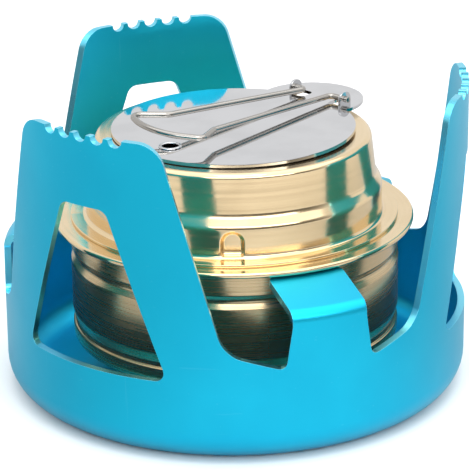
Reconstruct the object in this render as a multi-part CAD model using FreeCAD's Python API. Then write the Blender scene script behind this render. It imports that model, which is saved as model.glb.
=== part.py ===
import FreeCAD, Part
import os
from math import atan2, cos, hypot, pi, radians, sin, sqrt, tan

# Spirit stove: a one-piece pot stand of sheet aluminium carries a double-walled brass burner,
# which hangs by its flange on three bent tabs. A brass regulator ring sits on the burner, and
# a riveted steel cover plate with a folding wire handle swings on top of it.
# Units are millimetres. The origin is the bottom centre of the stand, and +Z is up.
# Arms stand at 0, 120 and 240 degrees, and tabs at 60, 180 and 300 degrees.

# ---- pot stand ----
STAND_R = 49.0                # outside radius of the wall
STAND_H = 66.6                # floor to arm tops
STAND_T = 1.5                 # sheet thickness
BASE_FILLET_R = 7.2           # outside radius where the wall turns into the floor
ARM_ANGLES = (0, 120, 240)
TAB_ANGLES = (60, 180, 300)

ARM_TOP_HALF_DEG = 20.2       # half width of an arm at its top
ARM_LOW_HALF_DEG = 33.0       # half width of an arm at ARM_LOW_Z
ARM_LOW_Z = 29.4
ARM_CORNER_R = 5.5
TOOTH_COUNT = 5
TOOTH_PITCH_DEG = 4.84
TOOTH_NOTCH_R = 1.5

WINDOW_LOW_Z = 17.7
WINDOW_HIGH_Z = 51.9
WINDOW_LOW_HALF_DEG = 21.4
WINDOW_HIGH_HALF_DEG = 6.5
WINDOW_LOW_CORNER_R = 2.0
WINDOW_HIGH_CORNER_R = 2.4

NOTCH_LOW_Z = 20.3            # lowest point of the gap beside a tab
NOTCH_SHOULDER_DEG = 25.4     # where the gap's floor turns up into the arm's edge
NOTCH_SHOULDER_Z = 24.0
NOTCH_SHOULDER_R = 6.5
NOTCH_TAB_CORNER_R = 1.5
NOTCH_CUT_DEG = 25.0          # the gap is cut square to the wall at this angle from the tab

TAB_LOW_HALF_DEG = 11.0       # half width of a tab at the bottom of its gaps
TAB_HALF_WIDTH = 8.0          # half width of the bent flange
TAB_SLOPE_DEG = 16.0          # rise of the flange towards the burner
TAB_TIP_R = 36.3              # radius that the flange reaches
TAB_TIP_Z = 35.6              # height of its upper edge there
TAB_BEND_R = 2.6              # outside radius of the bend
TAB_CORNER_R = 2.2

# ---- burner ----
FLANGE_R = 37.9
FLANGE_LOW_Z = 35.65
BRASS_T = 0.4                 # drawn brass sheet of the flange's layers
CUP_R = 34.8
CUP_T = 0.6
CUP_LOW_Z = 9.6
CUP_BORE_R = CUP_R - CUP_T
FOOT_RIM_R = 34.7
FOOT_RIM_TOP_Z = 13.7
FOOT_COVE_R = 34.2
FOOT_CORNER_R = 2.2
BEAD_Z = 29.4                 # centre of the pressed-in bead
BEAD_HALF = 1.5
BEAD_DEPTH = 0.8
HEM_INNER_R = 36.2
TOP_T = 0.5                   # sheet of the top shell above its flange
NECK_R = 28.9                 # the ring's dimples sit round this neck
NECK_TOP_Z = 44.0
CROWN_R = 27.5
CROWN_SHOULDER_Z = 47.6
MOUTH_R = 20.6                # inside radius of the mouth
MOUTH_Z = 51.4
NECK_TUBE_LOW_Z = 38.0
THREAD_TURNS = 3
THREAD_PITCH = 1.6
JET_COUNT = 24
JET_R = 0.6
JET_ALONG = 0.45              # place of the jets up the crown's slope
THREAD_RIDGE_R = 0.45
WELL_GAP = 0.05
WELL_T = 0.5
WELL_TOP_Z = 42.0
FUEL_SLOT_COUNT = 6
FUEL_SLOT_WIDTH = 3.0
FUEL_SLOT_HEIGHT = 1.6
WICK_INNER_R = 22.1
WICK_OUTER_R = 32.6
WICK_TOP_Z = 33.0

# ---- regulator ring ----
RING_T = 0.6
RING_FOOT_Z = 36.87
RING_FOOT_R = 34.6
RING_LOWER_R = 31.2
RING_STEP_Z = 43.9
RING_STEP_TOP_Z = 46.0
RING_UPPER_R = 29.9
RING_TOP_R = 28.9
RING_TOP_Z = 54.6
RING_PORT_R = 15.5
RING_SHOULDER_R = 1.2
DIMPLE_FIRST_DEG = 6.6
DIMPLE_COUNT = 4
DIMPLE_HALF_WIDTH = 2.2
DIMPLE_DEPTH = 1.0
DIMPLE_LOW_Z = 38.4
DIMPLE_TOP_Z = 43.0

# ---- cover plate, rivet and wire handle ----
PLATE_DEG = 54.0              # direction of the ear, seen from the ring's centre
RIVET_RADIUS = 18.8           # the rivet is opposite the ear
PLATE_TILT_DEG = 0.6          # the loose plate rises from the rivet towards the ear
PLATE_LIFT = 0.25             # gap between plate and ring at the rivet
PLATE_T = 0.7
PLATE_R = 25.6
EAR_CENTRE = 24.5
EAR_R = 11.3
LUG_OFFSET = 7.0              # lugs stand this far each side of the handle's centre line
HANDLE_SIDE = -1.5            # the handle's centre line is this far to one side of the ear's
LUG_T = 0.6
LUG_LENGTH = 3.4
HANDLE_AXIS = 25.7            # distance of the handle's pivot line from the ring's centre
PIVOT_LIFT = 1.15             # height of the pivot line above the plate
SLOT_LENGTH = 4.2
SLOT_WIDTH = 3.2
RIVET_BARREL_R = 2.0
RIVET_BORE_R = 1.7
RIVET_HEAD_R = 2.4
RIVET_HEAD_T = 0.35
PIVOT_CLEARANCE = 0.06
WIRE_R = 0.65
LUG_HOLE_R = WIRE_R + 0.06

UP = FreeCAD.Vector(0, 0, 1)


def vec(x, y, z):
    return FreeCAD.Vector(x, y, z)


def polar(radius, angle_deg, z):
    a = radians(angle_deg)
    return vec(radius * cos(a), radius * sin(a), z)


def rounded_edges(corners, to_point):
    """Edges of a closed outline. Each corner is (a, b, radius) in the outline's own plane."""
    count = len(corners)
    starts = []
    edges = []
    for i, (a, b, r) in enumerate(corners):
        pa, pb, _ = corners[i - 1]
        na, nb, _ = corners[(i + 1) % count]
        la = hypot(pa - a, pb - b)
        lb = hypot(na - a, nb - b)
        ua, ub = (pa - a) / la, (pb - b) / la
        wa, wb = (na - a) / lb, (nb - b) / lb
        turn = sqrt(max(0.0, (1 - ua * wa - ub * wb) / 2))
        if r <= 0:
            starts.append(((a, b), None, (a, b)))
            continue
        half = atan2(turn, sqrt(max(1e-12, 1 - turn * turn)))
        back = r / tan(half)
        first = (a + ua * back, b + ub * back)
        last = (a + wa * back, b + wb * back)
        da, db = ua + wa, ub + wb
        dl = hypot(da, db)
        reach = r / sin(half) - r
        middle = (a + da / dl * reach, b + db / dl * reach)
        starts.append((first, middle, last))
    for i, (first, middle, last) in enumerate(starts):
        if middle is not None:
            edges.append(Part.Arc(to_point(*first), to_point(*middle), to_point(*last)).toShape())
        following = starts[(i + 1) % count][0]
        if hypot(following[0] - last[0], following[1] - last[1]) > 1e-6:
            edges.append(Part.LineSegment(to_point(*last), to_point(*following)).toShape())
    return edges


def face_from(corners, to_point):
    return Part.Face(Part.Wire(Part.__sortEdges__(rounded_edges(corners, to_point))))


def revolved(corners):
    """Solid of revolution about Z from an (radius, z, corner radius) outline."""
    face = face_from(corners, lambda a, b: vec(a, 0, b))
    return face.revolve(vec(0, 0, 0), UP, 360)


def radial_prism(corners, angle_deg, inner, outer):
    """Prism cut along a radius: corners are (sideways, z, corner radius), seen from outside."""
    face = face_from(corners, lambda a, b: vec(inner, a, b))
    solid = face.extrude(vec(outer - inner, 0, 0))
    solid.rotate(vec(0, 0, 0), UP, angle_deg)
    return solid


def stand_shell():
    """Flat-floored cup of constant thickness, as tall as the arms."""
    inner_r = STAND_R - STAND_T
    corners = [
        (0, 0, 0),
        (STAND_R, 0, BASE_FILLET_R),
        (STAND_R, STAND_H, 0),
        (inner_r, STAND_H, 0),
        (inner_r, STAND_T, BASE_FILLET_R - STAND_T),
        (0, STAND_T, 0),
    ]
    return revolved(corners)


def arm_half_deg(z):
    slope = (ARM_LOW_HALF_DEG - ARM_TOP_HALF_DEG) / (STAND_H - ARM_LOW_Z)
    return ARM_TOP_HALF_DEG + slope * (STAND_H - z)


def notch_cutter(tab_deg, side):
    """Everything cut away between a tab's centre line and the next arm, on one side."""

    def sideways(from_tab_deg):
        return side * STAND_R * sin(radians(from_tab_deg - NOTCH_CUT_DEG))

    over = STAND_H + 6
    bend_start = TAB_TIP_Z - (STAND_R - TAB_TIP_R) * tan(radians(TAB_SLOPE_DEG)) - TAB_BEND_R
    tab_half_deg = 180 / pi * TAB_HALF_WIDTH / STAND_R
    corners = [
        (sideways(-3), over, 0),
        (sideways(-3), bend_start, 0),
        (sideways(tab_half_deg), bend_start, 0),
        (sideways(TAB_LOW_HALF_DEG), NOTCH_LOW_Z, NOTCH_TAB_CORNER_R),
        (sideways(NOTCH_SHOULDER_DEG), NOTCH_SHOULDER_Z, NOTCH_SHOULDER_R),
        (sideways(60 - arm_half_deg(STAND_H)), STAND_H, ARM_CORNER_R),
        (sideways(60 - ARM_TOP_HALF_DEG + 12), STAND_H, 0),
        (sideways(60 - ARM_TOP_HALF_DEG + 12), over, 0),
    ]
    return radial_prism(corners, tab_deg + side * NOTCH_CUT_DEG, STAND_R * 0.4, STAND_R + 6)


def window_cutter(arm_deg):
    """Trapezium window through an arm."""
    low = STAND_R * sin(radians(WINDOW_LOW_HALF_DEG))
    high = STAND_R * sin(radians(WINDOW_HIGH_HALF_DEG))
    corners = [
        (-low, WINDOW_LOW_Z, WINDOW_LOW_CORNER_R),
        (low, WINDOW_LOW_Z, WINDOW_LOW_CORNER_R),
        (high, WINDOW_HIGH_Z, WINDOW_HIGH_CORNER_R),
        (-high, WINDOW_HIGH_Z, WINDOW_HIGH_CORNER_R),
    ]
    return radial_prism(corners, arm_deg, STAND_R * 0.5, STAND_R + 6)


def tooth_cutters(arm_deg):
    """Round notches across an arm's top, which leave blunt teeth for a pot to rest on."""
    cutters = []
    for i in range(TOOTH_COUNT):
        angle = arm_deg + (i - (TOOTH_COUNT - 1) / 2) * TOOTH_PITCH_DEG
        base = polar(STAND_R - 6, angle, STAND_H)
        direction = polar(1, angle, 0)
        cutters.append(Part.makeCylinder(TOOTH_NOTCH_R, 12, base, direction))
    return cutters


def bent_tab(tab_deg):
    """Flange bent inwards off the wall, sloping up to carry the burner's flange."""
    slope = radians(TAB_SLOPE_DEG)
    crest = TAB_TIP_Z - (STAND_R - TAB_TIP_R) * tan(slope)
    low = crest - TAB_BEND_R - 0.6
    drop = STAND_T / cos(slope)
    corners = [
        (STAND_R, low, 0),
        (STAND_R, crest, TAB_BEND_R),
        (TAB_TIP_R, TAB_TIP_Z, 0.3),
        (TAB_TIP_R - STAND_T * sin(slope), TAB_TIP_Z - STAND_T * cos(slope), 0.3),
        (STAND_R - STAND_T, crest - drop + STAND_T * tan(slope), TAB_BEND_R - STAND_T),
        (STAND_R - STAND_T, low, 0),
    ]
    ring = revolved(corners)
    plan = [
        (TAB_TIP_R - 1, -TAB_HALF_WIDTH, TAB_CORNER_R),
        (STAND_R + 2, -TAB_HALF_WIDTH, 0),
        (STAND_R + 2, TAB_HALF_WIDTH, 0),
        (TAB_TIP_R - 1, TAB_HALF_WIDTH, TAB_CORNER_R),
    ]
    column = face_from(plan, lambda a, b: vec(a, b, low - 1)).extrude(vec(0, 0, 14))
    column.rotate(vec(0, 0, 0), UP, tab_deg)
    return ring.common(column)


def pot_stand():
    shell = stand_shell()
    cutters = []
    for tab in TAB_ANGLES:
        cutters.append(notch_cutter(tab, 1))
        cutters.append(notch_cutter(tab, -1))
    for arm in ARM_ANGLES:
        cutters.append(window_cutter(arm))
        cutters.extend(tooth_cutters(arm))
    shell = shell.cut(cutters)
    shell = shell.fuse([bent_tab(tab) for tab in TAB_ANGLES])
    return shell.removeSplitter()


def burner_cup():
    """Drawn outer cup: stepped foot, pressed bead and a lip that carries the top shell."""
    inner = CUP_BORE_R
    lip_low = FLANGE_LOW_Z + BRASS_T
    lip_top = lip_low + BRASS_T
    corners = [
        (0, CUP_LOW_Z, 0),
        (FOOT_RIM_R, CUP_LOW_Z, FOOT_CORNER_R),
        (FOOT_RIM_R, FOOT_RIM_TOP_Z, 0.3),
        (FOOT_COVE_R, FOOT_RIM_TOP_Z + 0.2, 0.1),
        (FOOT_COVE_R, FOOT_RIM_TOP_Z + 1.2, 0.8),
        (CUP_R, FOOT_RIM_TOP_Z + 3.4, 2.0),
        (CUP_R, BEAD_Z - BEAD_HALF, 0.6),
        (CUP_R - BEAD_DEPTH, BEAD_Z, 1.0),
        (CUP_R, BEAD_Z + BEAD_HALF, 0.6),
        (CUP_R, lip_low, 0.3),
        (FLANGE_R - BRASS_T - 0.1, lip_low, 0.15),
        (FLANGE_R - BRASS_T - 0.1, lip_top, 0.15),
        (inner, lip_top, 0.5),
        (inner, BEAD_Z + BEAD_HALF + 0.3, 0.6),
        (inner - BEAD_DEPTH, BEAD_Z, 0.8),
        (inner, BEAD_Z - BEAD_HALF - 0.3, 0.6),
        (inner, FOOT_RIM_TOP_Z + 3.6, 1.5),
        (FOOT_COVE_R - CUP_T, FOOT_RIM_TOP_Z + 1.0, 0.8),
        (FOOT_COVE_R - CUP_T, CUP_LOW_Z + CUP_T, 1.6),
        (0, CUP_LOW_Z + CUP_T, 0),
    ]
    return revolved(corners)


def crown_point(along):
    """Point on the crown's outer slope, from its shoulder (0) to the mouth's rim (1)."""
    low_r, low_z = CROWN_R - 0.8, CROWN_SHOULDER_Z
    high_r, high_z = MOUTH_R + 1.2, MOUTH_Z
    return low_r + (high_r - low_r) * along, low_z + (high_z - low_z) * along


def burner_top():
    """Top shell: hemmed flange, stepped neck, crown with jets, and a threaded mouth tube."""
    top_z = FLANGE_LOW_Z + 3 * BRASS_T
    under_lip = FLANGE_LOW_Z + BRASS_T
    over_lip = FLANGE_LOW_Z + 2 * BRASS_T
    tube_outer = MOUTH_R + TOP_T
    corners = [
        (HEM_INNER_R, FLANGE_LOW_Z, 0.1),
        (FLANGE_R, FLANGE_LOW_Z, 0.5),
        (FLANGE_R, top_z, 0.5),
        (NECK_R, top_z, 0.4),
        (NECK_R, NECK_TOP_Z, 0.7),
        (CROWN_R, NECK_TOP_Z + 1.0, 0.7),
        (CROWN_R, CROWN_SHOULDER_Z, 1.2),
        (MOUTH_R + 0.8, MOUTH_Z, 0.4),
        (MOUTH_R, MOUTH_Z - 0.1, 0.25),
        (MOUTH_R, NECK_TUBE_LOW_Z, 0.1),
        (tube_outer, NECK_TUBE_LOW_Z, 0.1),
        (tube_outer, MOUTH_Z - 1.3, 0.3),
        (CROWN_R - TOP_T, CROWN_SHOULDER_Z - 0.5, 0.8),
        (CROWN_R - TOP_T, NECK_TOP_Z + 0.7, 0.4),
        (NECK_R - TOP_T, NECK_TOP_Z - 0.3, 0.4),
        (NECK_R - TOP_T, over_lip, 0.1),
        (FLANGE_R - BRASS_T, over_lip, 0.1),
        (FLANGE_R - BRASS_T, under_lip, 0.1),
        (HEM_INNER_R, under_lip, 0.1),
    ]
    shell = revolved(corners)
    cutters = []
    radius, height = crown_point(JET_ALONG)
    for i in range(JET_COUNT):
        angle = 360 / JET_COUNT * (i + 0.5)
        outward = polar(1, angle, 1.25)
        base = polar(radius, angle, height) - outward * 2
        cutters.append(Part.makeCylinder(JET_R, 6, base, outward))
    shell = shell.cut(cutters)
    turns = []
    for i in range(THREAD_TURNS):
        ring = Part.makeTorus(MOUTH_R + 0.25, THREAD_RIDGE_R, vec(0, 0, MOUTH_Z - 2.6 - i * THREAD_PITCH), UP)
        turns.append(ring)
    return shell.fuse(turns)


def fuel_well():
    """Inner wall between well and wick, standing on the cup's floor round the mouth tube."""
    inner = MOUTH_R + TOP_T + WELL_GAP
    low = CUP_LOW_Z + CUP_T
    corners = [
        (inner, low, 0),
        (inner + WELL_T, low, 0),
        (inner + WELL_T, WELL_TOP_Z, 0.1),
        (inner, WELL_TOP_Z, 0.1),
    ]
    tube = revolved(corners)
    slots = []
    for i in range(FUEL_SLOT_COUNT):
        half = FUEL_SLOT_WIDTH / 2
        slot = [(-half, low - 1, 0), (half, low - 1, 0), (half, low + FUEL_SLOT_HEIGHT, 0.7),
                (-half, low + FUEL_SLOT_HEIGHT, 0.7)]
        slots.append(radial_prism(slot, 360 / FUEL_SLOT_COUNT * i, inner - 3, inner + 3))
    return tube.cut(slots)


def wick_ring():
    """Felt lining that fills the jacket between the two walls."""
    low = CUP_LOW_Z + CUP_T + 0.1
    corners = [
        (WICK_INNER_R, low, 0.6),
        (WICK_OUTER_R, low, 0.6),
        (WICK_OUTER_R, WICK_TOP_Z, 1.2),
        (WICK_INNER_R, WICK_TOP_Z, 1.2),
    ]
    return revolved(corners)


def ring_outline(offset):
    """Half outline of the ring's sheet, moved inwards by offset, from foot edge to port."""
    return [
        (RING_FOOT_R, RING_FOOT_Z + RING_T - offset, 0),
        (RING_LOWER_R - offset, RING_FOOT_Z + RING_T - offset, 0.9 + offset),
        (RING_LOWER_R - offset, RING_STEP_Z - offset * 0.2, 1.3 - offset),
        (RING_UPPER_R - offset, RING_STEP_TOP_Z - offset * 0.4, 0.6 + offset),
        (RING_TOP_R - offset, RING_TOP_Z - offset, RING_SHOULDER_R - offset),
        (RING_PORT_R, RING_TOP_Z - offset, 0),
    ]


def dimple_tool(angle_deg, radius, height, half_width, low_z):
    """Round-nosed arch that presses into the ring's lower wall from outside."""
    nose = half_width
    arch = [(-half_width, low_z, 0), (half_width, low_z, 0), (half_width, height, nose * 0.999),
            (-half_width, height, nose * 0.999)]
    return radial_prism(arch, angle_deg, radius, RING_LOWER_R + 3)


def regulator_ring():
    """Spun ring with a foot flange, a step, four pressed dimples and a flat top with a port."""
    outer = ring_outline(0)
    inner = ring_outline(RING_T)
    shell = revolved(outer + inner[::-1])
    for i in range(DIMPLE_COUNT):
        angle = DIMPLE_FIRST_DEG + i * 360 / DIMPLE_COUNT
        wall_inner = RING_LOWER_R - RING_T - DIMPLE_DEPTH
        low = RING_FOOT_Z + RING_T
        boss = dimple_tool(angle, wall_inner, DIMPLE_TOP_Z + RING_T, DIMPLE_HALF_WIDTH + RING_T, low - 0.3)
        boss = boss.common(Part.makeCylinder(RING_LOWER_R - 0.1, 30, vec(0, 0, 30)))
        hollow = dimple_tool(angle, wall_inner + RING_T, DIMPLE_TOP_Z, DIMPLE_HALF_WIDTH, DIMPLE_LOW_Z)
        shell = shell.fuse(boss).cut(hollow)
    hole_at = polar(RIVET_RADIUS, PLATE_DEG + 180, RING_TOP_Z - 3)
    shell = shell.cut(Part.makeCylinder(RIVET_BARREL_R + 0.05, 6, hole_at, UP))
    return shell.removeSplitter()


# Pieces on the plate are drawn flat, with X towards the ear, Y to the left of it, the ring's
# centre line at X = 0 and the plate's lower face at Z = 0, and are then set down together.
def on_ring(shape):
    """Turn a flat-drawn piece to the ear's direction and tilt it about the rivet."""
    placed = shape.copy()
    placed.translate(vec(RIVET_RADIUS, 0, 0))
    placed.rotate(vec(0, 0, 0), vec(0, 1, 0), -PLATE_TILT_DEG)
    placed.translate(vec(-RIVET_RADIUS, 0, RING_TOP_Z + PLATE_LIFT))
    placed.rotate(vec(0, 0, 0), UP, PLATE_DEG)
    return placed


def lug(side):
    """Curled lug lanced up out of the ear, with the handle's pivot hole through it."""
    height = PIVOT_LIFT + LUG_HOLE_R + 0.9
    half = LUG_LENGTH / 2
    corners = [
        (HANDLE_AXIS - half, PLATE_T - 0.2, 0),
        (HANDLE_AXIS + half, PLATE_T - 0.2, 0),
        (HANDLE_AXIS + half, PLATE_T + height, half * 0.95),
        (HANDLE_AXIS - half, PLATE_T + height, half * 0.95),
    ]
    near = HANDLE_SIDE + side * LUG_OFFSET - LUG_T / 2
    face = face_from(corners, lambda a, b: vec(a, near, b))
    blade = face.extrude(vec(0, LUG_T, 0))
    centre = vec(HANDLE_AXIS, near - 1, PLATE_T + PIVOT_LIFT)
    return blade.cut(Part.makeCylinder(LUG_HOLE_R, LUG_T + 2, centre, vec(0, 1, 0)))


def cover_plate():
    """Disc with a rounded ear, two lugs and the openings that the lugs were lanced from."""
    disc = Part.makeCylinder(PLATE_R, PLATE_T)
    ear = Part.makeCylinder(EAR_R, PLATE_T, vec(EAR_CENTRE, 0, 0))
    plate = disc.fuse(ear).removeSplitter()
    cutters = []
    for side in (-1, 1):
        near = HANDLE_SIDE + side * (LUG_OFFSET - LUG_T / 2)
        far = near - side * SLOT_WIDTH
        half = SLOT_LENGTH / 2
        corners = [(HANDLE_AXIS - half, near, 0), (HANDLE_AXIS + half, near, 0),
                   (HANDLE_AXIS + half, far, 1.2), (HANDLE_AXIS - half, far, 1.2)]
        cutters.append(face_from(corners, lambda a, b: vec(a, b, -1)).extrude(vec(0, 0, 4)))
    hole = Part.makeCylinder(RIVET_BARREL_R + PIVOT_CLEARANCE, 4, vec(-RIVET_RADIUS, 0, -1))
    cutters.append(hole)
    plate = plate.cut(cutters).fuse([lug(-1), lug(1)])
    return on_ring(plate.removeSplitter())


def pivot_rivet():
    """Tubular rivet: rolled head over the plate, barrel, and a flare under the ring's top."""
    head_low = PLATE_T + 0.05
    flare_top = -PLATE_LIFT - RING_T - 0.06
    corners = [
        (RIVET_BORE_R, flare_top - 0.4, 0.1),
        (RIVET_HEAD_R, flare_top - 0.4, 0.2),
        (RIVET_HEAD_R, flare_top, 0.1),
        (RIVET_BARREL_R, flare_top, 0),
        (RIVET_BARREL_R, head_low, 0),
        (RIVET_HEAD_R, head_low, 0.1),
        (RIVET_HEAD_R, head_low + RIVET_HEAD_T, 0.3),
        (RIVET_BORE_R, head_low + RIVET_HEAD_T, 0.3),
    ]
    rivet = revolved(corners)
    rivet.translate(vec(-RIVET_RADIUS, 0, 0))
    return on_ring(rivet)


def wire_route():
    """Corners of the handle's wire: (x, y, height above the plate, bend radius)."""
    pin = LUG_OFFSET + LUG_T / 2 + 0.9
    return [
        (HANDLE_AXIS, HANDLE_SIDE + pin, PIVOT_LIFT, 0),
        (HANDLE_AXIS, HANDLE_SIDE + 4.1, PIVOT_LIFT, 1.2),
        (-12.7, 6.4, 4.0, 3.0),
        (-18.3, 11.9, 4.3, 1.8),
        (-23.1, 2.1, 3.7, 13.0),
        (-17.0, -7.5, 2.9, 1.5),
        (-11.1, -5.0, 2.7, 1.5),
        (HANDLE_AXIS, HANDLE_SIDE - 3.1, PIVOT_LIFT, 1.2),
        (HANDLE_AXIS, HANDLE_SIDE - pin, PIVOT_LIFT, 0),
    ]


def wire_handle():
    """Bent wire loop whose ends pivot in the lugs; its end bow stands clear of the plate."""
    route = [(vec(x, y, PLATE_T + h), r) for x, y, h, r in wire_route()]
    edges = []
    start = route[0][0]
    for i in range(1, len(route) - 1):
        before, here, after = route[i - 1][0], route[i][0], route[i + 1][0]
        towards = (before - here).normalize()
        away = (after - here).normalize()
        half = towards.getAngle(away) / 2
        back = route[i][1] / tan(half)
        first = here + towards * back
        last = here + away * back
        middle = here + (towards + away).normalize() * (route[i][1] / sin(half) - route[i][1])
        edges.append(Part.LineSegment(start, first).toShape())
        edges.append(Part.Arc(first, middle, last).toShape())
        start = last
    edges.append(Part.LineSegment(start, route[-1][0]).toShape())
    path = Part.Wire(edges)
    direction = (route[1][0] - route[0][0]).normalize()
    profile = Part.Wire(Part.makeCircle(WIRE_R, route[0][0], direction))
    solid = path.makePipeShell([profile], True, True)
    return on_ring(solid)


def export(name, shape):
    if shape.ShapeType == "Compound" and len(shape.Solids) == 1:
        shape = shape.Solids[0]
    if not shape.isValid() or shape.Volume <= 0:
        raise ValueError("bad solid: " + name)
    shape.exportStep(os.path.join("parts", name + ".step"))
    print("%-16s solids %d  faces %3d  volume %9.2f mm3" % (
        name, len(shape.Solids), len(shape.Faces), shape.Volume))


def main():
    os.makedirs("parts", exist_ok=True)
    export("pot_stand", pot_stand())
    export("burner_cup", burner_cup())
    export("burner_top", burner_top())
    export("fuel_well", fuel_well())
    export("wick_ring", wick_ring())
    export("regulator_ring", regulator_ring())
    export("cover_plate", cover_plate())
    export("pivot_rivet", pivot_rivet())
    export("wire_handle", wire_handle())


main()
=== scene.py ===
"""Looks of a spirit stove: a pressed aluminium pot stand, a double-walled brass burner, a
regulator ring and a steel cover plate with a folding wire handle. Sizes are in millimetres until
a mesh is finished."""
import logging
import math
from dataclasses import dataclass
from enum import Enum

import bmesh
import bpy
from bmesh.types import BMesh, BMVert
from bpy.types import Material, Node, NodeSocket, NodeTree, Object
from mathutils import Matrix, Vector, noise


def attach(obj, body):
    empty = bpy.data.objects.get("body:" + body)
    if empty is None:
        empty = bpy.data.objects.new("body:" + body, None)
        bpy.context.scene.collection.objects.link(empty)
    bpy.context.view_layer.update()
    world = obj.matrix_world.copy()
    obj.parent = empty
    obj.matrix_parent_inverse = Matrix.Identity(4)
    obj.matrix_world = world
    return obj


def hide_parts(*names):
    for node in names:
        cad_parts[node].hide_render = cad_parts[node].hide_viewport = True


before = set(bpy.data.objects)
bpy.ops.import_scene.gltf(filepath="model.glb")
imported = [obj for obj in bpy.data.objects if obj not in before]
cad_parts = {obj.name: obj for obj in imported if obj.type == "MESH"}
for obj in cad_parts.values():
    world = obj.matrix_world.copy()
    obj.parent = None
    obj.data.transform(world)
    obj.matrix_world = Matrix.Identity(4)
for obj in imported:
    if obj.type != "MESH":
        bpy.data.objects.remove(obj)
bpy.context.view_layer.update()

LOG = logging.getLogger("spirit_stove")
MM = 0.001
MERGE = 1e-4
AXIS_TOUCH = 1e-3
SHARP_DEG = 35.0
Corner = tuple[float, float, float]
Point = tuple[float, float, float]
Span = tuple[float, float]
Values = dict[str | int, object]


class Body(Enum):
    """Moving bodies of the stove."""

    STAND = "stand"
    BURNER = "burner"
    REGULATOR = "regulator"
    COVER = "cover"
    HANDLE = "handle"


class Plane(Enum):
    """Plane that an outline is drawn in."""

    UPRIGHT = "upright"
    FLAT = "flat"


# ---- Mesh tools ----
def weld(bm: BMesh, dist: float = MERGE) -> None:
    """Merges the vertices that meet."""
    bmesh.ops.remove_doubles(bm, verts=bm.verts[:], dist=dist)


def face_out(bm: BMesh) -> None:
    """Turns every face outwards."""
    bmesh.ops.recalc_face_normals(bm, faces=bm.faces[:])


def whole(bm: BMesh) -> list:
    """Every vertex, edge and face of a mesh."""
    return bm.verts[:] + bm.edges[:] + bm.faces[:]


def round_off(bm: BMesh, geom: list, offset: float, segments: int, affect: str = "EDGES") -> None:
    """Rounds edges or corners.

    Args:
        bm: The mesh.
        geom: The edges or the vertices.
        offset: How far from them the rounding starts.
        segments: How many pieces it has.
        affect: EDGES, which are kept from overlapping, or VERTICES.
    """
    bmesh.ops.bevel(bm, geom=geom, offset=offset, offset_type="OFFSET", segments=segments,
                    profile=0.5, affect=affect, clamp_overlap=affect == "EDGES", material=-1)


def corner_setback(before: Vector, here: Vector, after: Vector, radius: float) -> float:
    """Distance from a corner to where its rounding starts.

    Args:
        before: The corner before it.
        here: The corner itself.
        after: The corner after it.
        radius: The rounding's radius.

    Returns:
        The distance along each side.
    """
    return radius / math.tan((before - here).angle(after - here) / 2)


def add_outline(bm: BMesh, corners: list[Corner], segments: int, plane: Plane) -> None:
    """Adds a flat face with rounded corners.

    Args:
        bm: The mesh that gets it.
        corners: Each corner's two coordinates and its radius.
        segments: How many pieces each rounding has.
        plane: UPRIGHT takes the coordinates as (x, z), FLAT as (x, y).
    """
    upright = plane is Plane.UPRIGHT
    verts = [bm.verts.new((a, 0, b) if upright else (a, b, 0)) for a, b, _ in corners]
    sides = [bm.edges.new((verts[i - 1], verts[i])) for i in range(len(verts))]
    bmesh.ops.edgeloop_fill(bm, edges=sides)
    places = [Vector((a, b)) for a, b, _ in corners]
    for i, (_, _, radius) in enumerate(corners):
        if radius > 0:
            after = places[(i + 1) % len(places)]
            setback = corner_setback(places[i - 1], places[i], after, radius)
            round_off(bm, [verts[i]], setback, segments, "VERTICES")
    weld(bm)


def half_outline(corners: list[Corner], segments: int) -> BMesh:
    """Draws a half section ready to spin, without its face and the edge on the axis.

    Args:
        corners: Each corner's x, z and radius.
        segments: How many pieces each rounding has.

    Returns:
        A mesh of its edges.
    """
    bm = bmesh.new()
    add_outline(bm, corners, segments, Plane.UPRIGHT)
    bmesh.ops.delete(bm, geom=bm.faces[:], context="FACES_ONLY")
    on_axis = [e for e in bm.edges if all(abs(v.co.x) < AXIS_TOUCH for v in e.verts)]
    bmesh.ops.delete(bm, geom=on_axis, context="EDGES")
    return bm


def spin_edges(bm: BMesh, sectors: list[tuple[float, int]]) -> None:
    """Spins the edges in a mesh about Z into a closed body.

    Args:
        bm: The mesh, which holds the outline's edges.
        sectors: Each sector's angle in degrees and its number of steps, 360 degrees in all.
    """
    geom = bm.verts[:] + bm.edges[:]
    for degrees, steps in sectors:
        made = bmesh.ops.spin(bm, geom=geom, cent=(0, 0, 0), axis=(0, 0, 1), dvec=(0, 0, 0),
                              angle=math.radians(degrees), steps=steps,
                              use_merge=len(sectors) == 1, use_normal_flip=False,
                              use_duplicate=False)
        geom = made["geom_last"]
    weld(bm)
    bmesh.ops.dissolve_degenerate(bm, edges=bm.edges[:], dist=MERGE)
    face_out(bm)


def draw_out(bm: BMesh, step: Point) -> None:
    """Draws flat faces out into a block.

    Args:
        bm: The mesh, which holds the faces and nothing else.
        step: From the faces to the block's other side.
    """
    grown = bmesh.ops.extrude_face_region(bm, geom=bm.faces[:] + bm.edges[:] + bm.verts[:],
                                          use_keep_orig=True)
    moved = [v for v in grown["geom"] if isinstance(v, BMVert)]
    bmesh.ops.translate(bm, vec=step, verts=moved)


def add_bar(bm: BMesh, radius: float, depth: float, place: Matrix, segments: int) -> None:
    """Adds a round bar.

    Args:
        bm: The mesh that gets it.
        radius: Its radius.
        depth: Its length.
        place: Takes it from upright at the origin to its place.
        segments: How many sides it has.
    """
    bmesh.ops.create_cone(bm, cap_ends=True, segments=segments, radius1=radius, radius2=radius,
                          depth=depth, matrix=place)


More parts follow.
